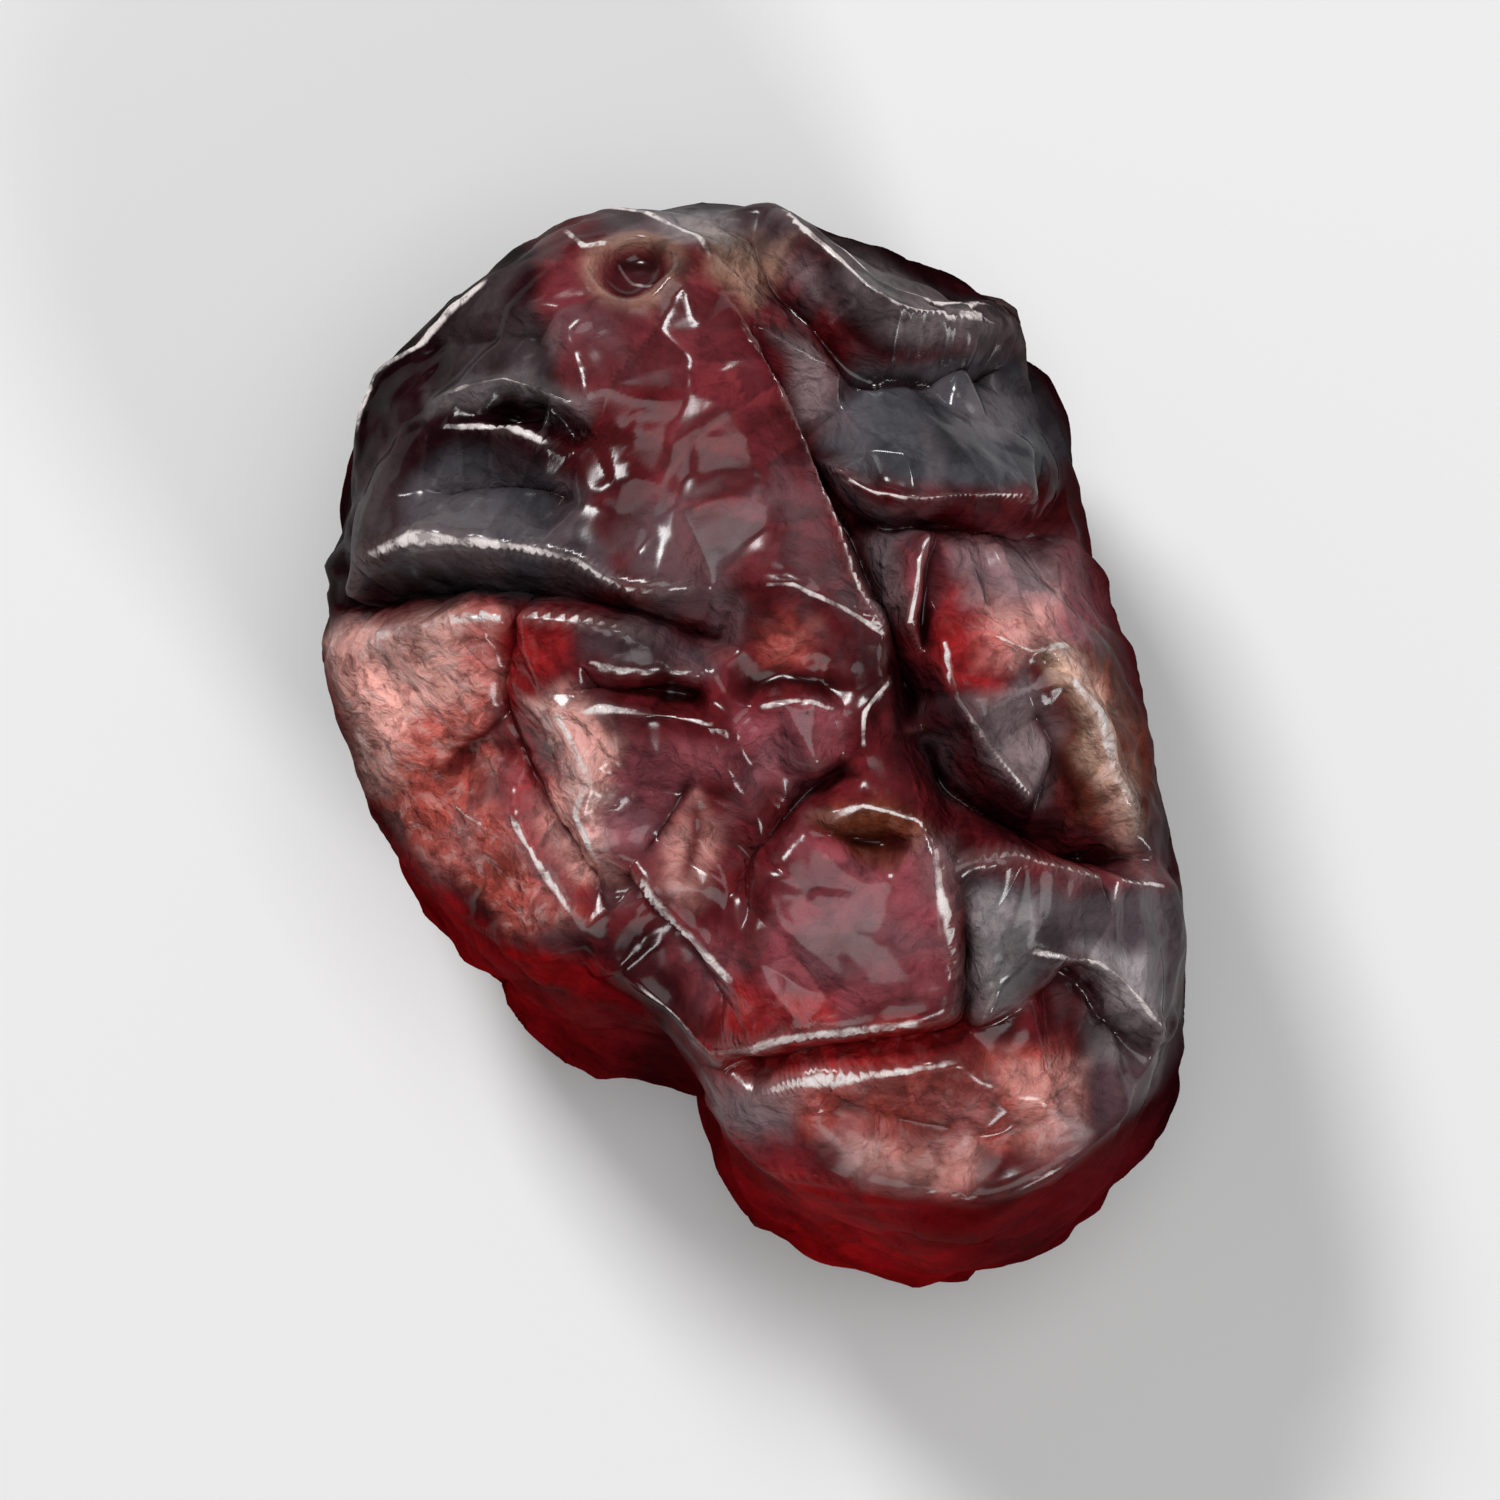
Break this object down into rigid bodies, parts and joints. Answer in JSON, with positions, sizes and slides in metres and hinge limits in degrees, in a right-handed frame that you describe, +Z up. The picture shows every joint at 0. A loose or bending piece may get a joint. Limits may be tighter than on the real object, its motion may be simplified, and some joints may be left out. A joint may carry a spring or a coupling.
{
  "type": "dried cranberry",
  "caption": "Whole dried cranberry lying on its side, shrivelled into taut facets with deep creases, a stem scar and a flower scar",
  "frame": {"origin": "on the foot, the small flat spot that the berry rests on, under the middle of its outline", "axes": "+Z up, away from the foot; +Y up the picture, toward the stem end; +X to the right of the picture"},
  "size_m": [0.0121, 0.015, 0.0082],
  "materials": {
    "cranberry_skin": "oily semi-gloss skin, dark maroon to bright red, translucent where thin"
  },
  "bodies": {
    "root": {"cranberry": "cranberry_skin"}
  },
  "joints": []
}
